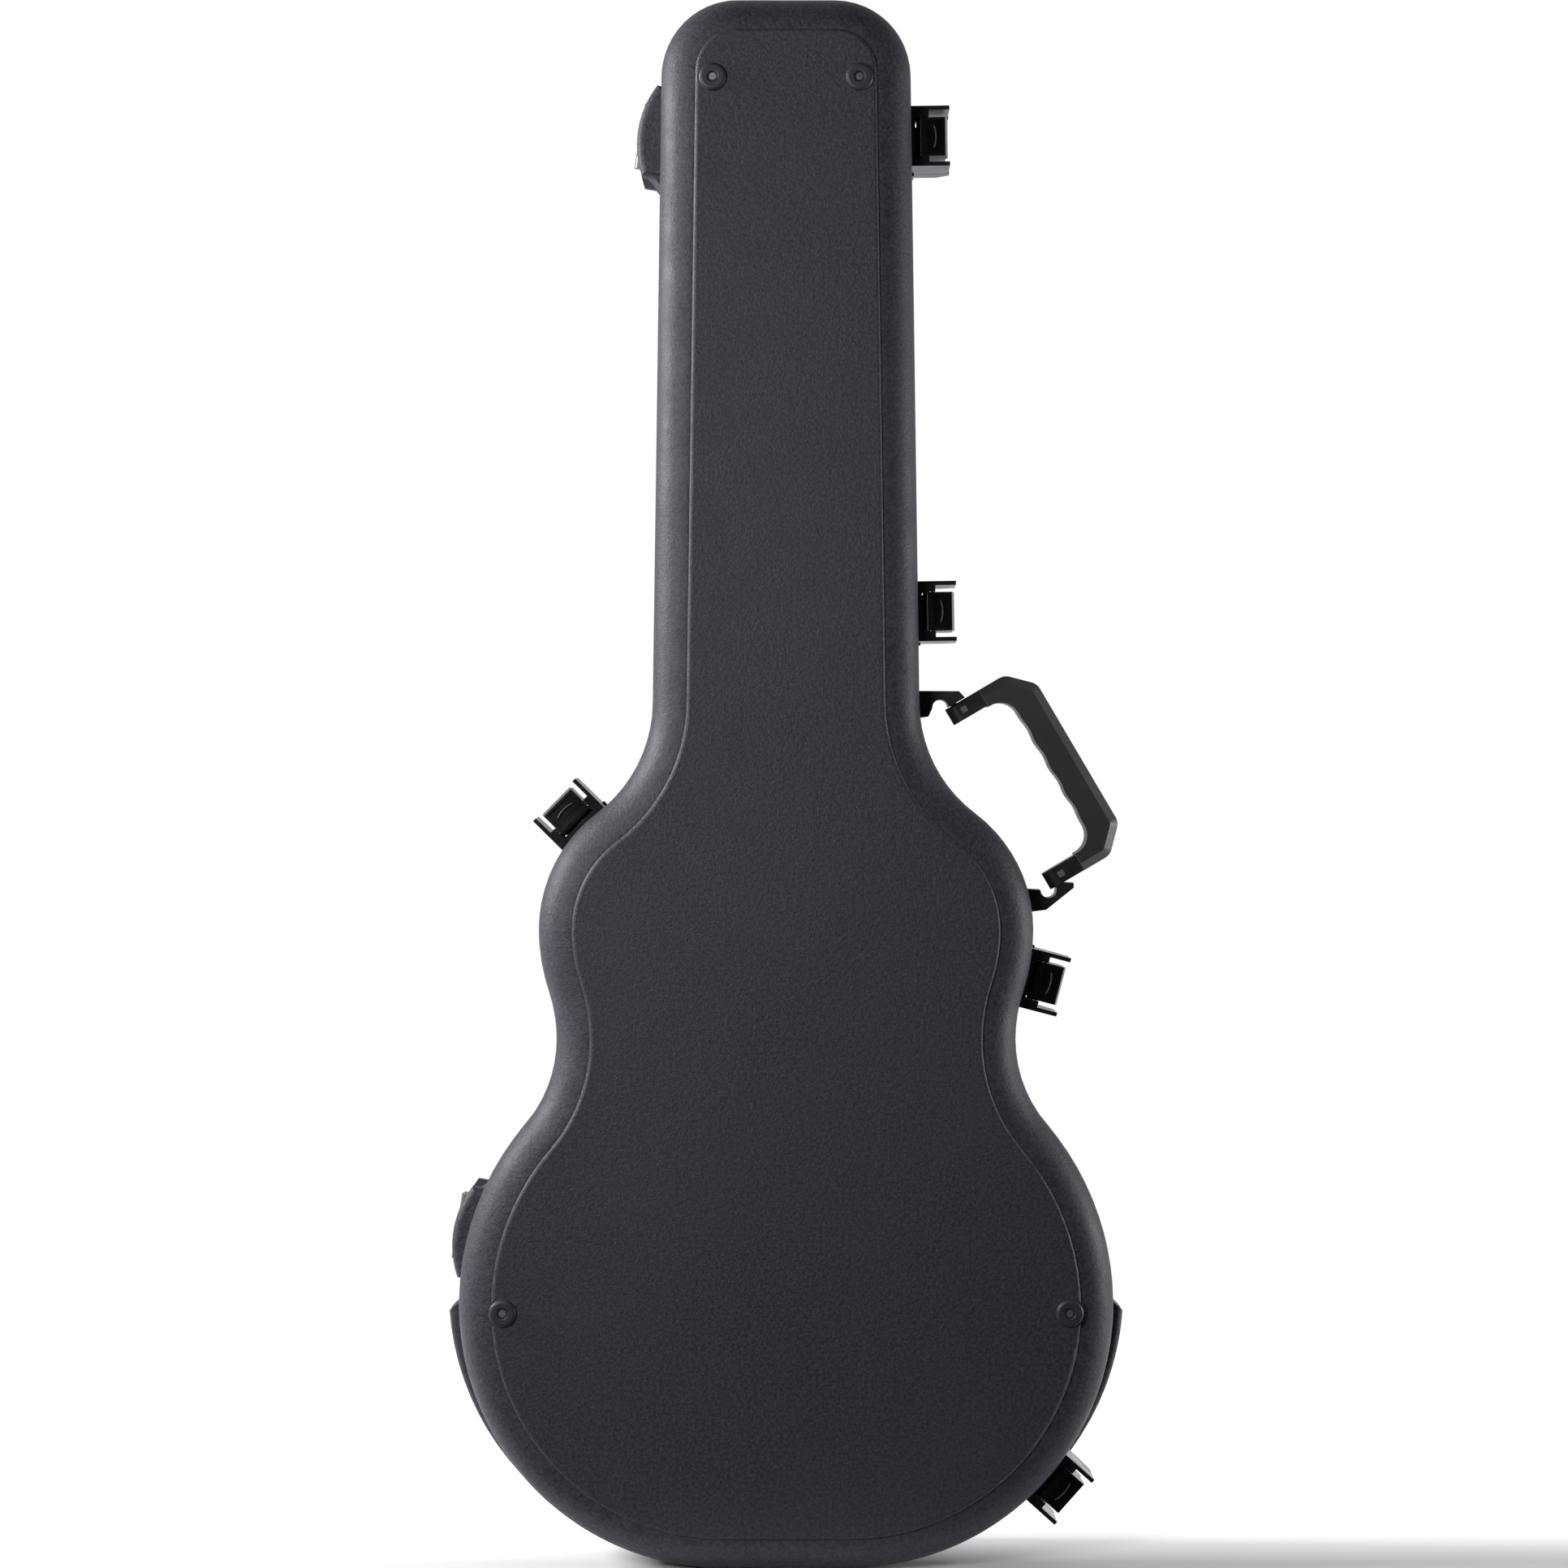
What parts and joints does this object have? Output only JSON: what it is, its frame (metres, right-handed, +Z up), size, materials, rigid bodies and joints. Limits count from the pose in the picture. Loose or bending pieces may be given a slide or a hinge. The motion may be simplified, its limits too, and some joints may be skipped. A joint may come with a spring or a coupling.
{
  "type": "guitar case",
  "caption": "Moulded hard case for a thin hollow-body guitar, with a hinged lid, trigger latches, a folding grip handle, plush lining, a neck cradle and an accessory compartment.",
  "frame": {"origin": "middle of the case's box in X and Y, at the lower end it stands on", "axes": "+Z up along the case to the neck end; +X to the handle side; +Y out of the lid, so the back with its four feet faces -Y"},
  "size_m": [0.491, 0.136, 1.13],
  "materials": {
    "shell_plastic": "fine pebbled charcoal moulding",
    "rim_metal": "brushed anodised extrusion",
    "plush_lining": "short pile plush over foam",
    "compartment_board": "plush covered board",
    "hinge_steel": "black zinc",
    "pin_steel": "plain steel",
    "latch_plastic": "black glass-filled nylon, glossy",
    "handle_plastic": "hard black nylon",
    "handle_rubber": "soft satin overmould",
    "foot_plastic": "moulded foot",
    "rivet_steel": "domed rivets and screws",
    "tab_leather": "black pull tab"
  },
  "bodies": {
    "base": {"base_shell": "shell_plastic", "base_valance": "rim_metal", "base_liner": "plush_lining", "hinge_base_rivets": "rivet_steel", "neck_cradle": "plush_lining", "accessory_box": "compartment_board", "accessory_pin": "pin_steel", "hinge_lower_base_leaf": "hinge_steel", "hinge_lower_pin": "pin_steel", "hinge_upper_base_leaf": "hinge_steel", "hinge_upper_pin": "pin_steel", "latch_1_housing": "latch_plastic", "latch_1_pin": "pin_steel", "latch_1_spring": "pin_steel", "latch_2_housing": "latch_plastic", "latch_2_pin": "pin_steel", "latch_2_spring": "pin_steel", "latch_3_housing": "latch_plastic", "latch_3_pin": "pin_steel", "latch_3_spring": "pin_steel", "latch_4_housing": "latch_plastic", "latch_4_pin": "pin_steel", "latch_4_spring": "pin_steel", "latch_5_housing": "latch_plastic", "latch_5_pin": "pin_steel", "latch_5_spring": "pin_steel", "latch_rivets": "rivet_steel", "handle_upper_bracket": "handle_plastic", "handle_lower_bracket": "handle_plastic", "handle_upper_pin": "pin_steel", "handle_lower_pin": "pin_steel", "foot_1": "foot_plastic", "foot_2": "foot_plastic", "foot_3": "foot_plastic", "foot_4": "foot_plastic", "foot_screws": "rivet_steel"},
    "lid": {"lid_shell": "shell_plastic", "lid_valance": "rim_metal", "lid_liner": "plush_lining", "hinge_lid_rivets": "rivet_steel", "hinge_lower_lid_leaf": "hinge_steel", "hinge_upper_lid_leaf": "hinge_steel", "latch_1_keeper": "latch_plastic", "latch_2_keeper": "latch_plastic", "latch_3_keeper": "latch_plastic", "latch_4_keeper": "latch_plastic", "latch_5_keeper": "latch_plastic", "keeper_rivets": "rivet_steel"},
    "handle": {"handle_core": "handle_plastic", "handle_grip": "handle_rubber", "handle_studs": "rivet_steel"},
    "accessory_door": {"accessory_door": "compartment_board", "accessory_tab": "tab_leather"},
    "trigger_1": {"latch_1_trigger": "latch_plastic"},
    "trigger_2": {"latch_2_trigger": "latch_plastic"},
    "trigger_3": {"latch_3_trigger": "latch_plastic"},
    "trigger_4": {"latch_4_trigger": "latch_plastic"},
    "trigger_5": {"latch_5_trigger": "latch_plastic"}
  },
  "joints": [
    {"name": "lid_hinge", "type": "hinge", "parent": "base", "child": "lid", "pos_m": [-0.2375, 0.006, 0.2408], "axis": [0.1655, 0, 0.9862], "range_deg": [0, 105]},
    {"name": "latch_1_release", "type": "hinge", "parent": "base", "child": "trigger_1", "pos_m": [0.09849, -0.023, 1.03411], "axis": [0.014, 0, -0.9999], "range_deg": [0, 70]},
    {"name": "latch_2_release", "type": "hinge", "parent": "base", "child": "trigger_2", "pos_m": [0.10329, -0.023, 0.69011], "axis": [0.014, 0, -0.9999], "range_deg": [0, 70]},
    {"name": "latch_3_release", "type": "hinge", "parent": "base", "child": "trigger_3", "pos_m": [0.18162, -0.023, 0.42269], "axis": [-0.2521, 0, -0.9677], "range_deg": [0, 70]},
    {"name": "latch_4_release", "type": "hinge", "parent": "base", "child": "trigger_4", "pos_m": [0.19383, -0.023, 0.05828], "axis": [-0.6652, 0, -0.7466], "range_deg": [0, 70]},
    {"name": "latch_5_release", "type": "hinge", "parent": "base", "child": "trigger_5", "pos_m": [-0.15372, -0.023, 0.53948], "axis": [0.7034, 0, 0.7108], "range_deg": [0, 70]},
    {"name": "handle_swing", "type": "hinge", "parent": "base", "child": "handle", "pos_m": [0.16065, -0.012, 0.5574], "axis": [-0.5074, 0, 0.8617], "range_deg": [-85, 85]},
    {"name": "accessory_door_hinge", "type": "hinge", "parent": "base", "child": "accessory_door", "pos_m": [-0.00224, -0.0127, 0.64], "axis": [0, 0, 1], "range_deg": [0, 95]}
  ]
}
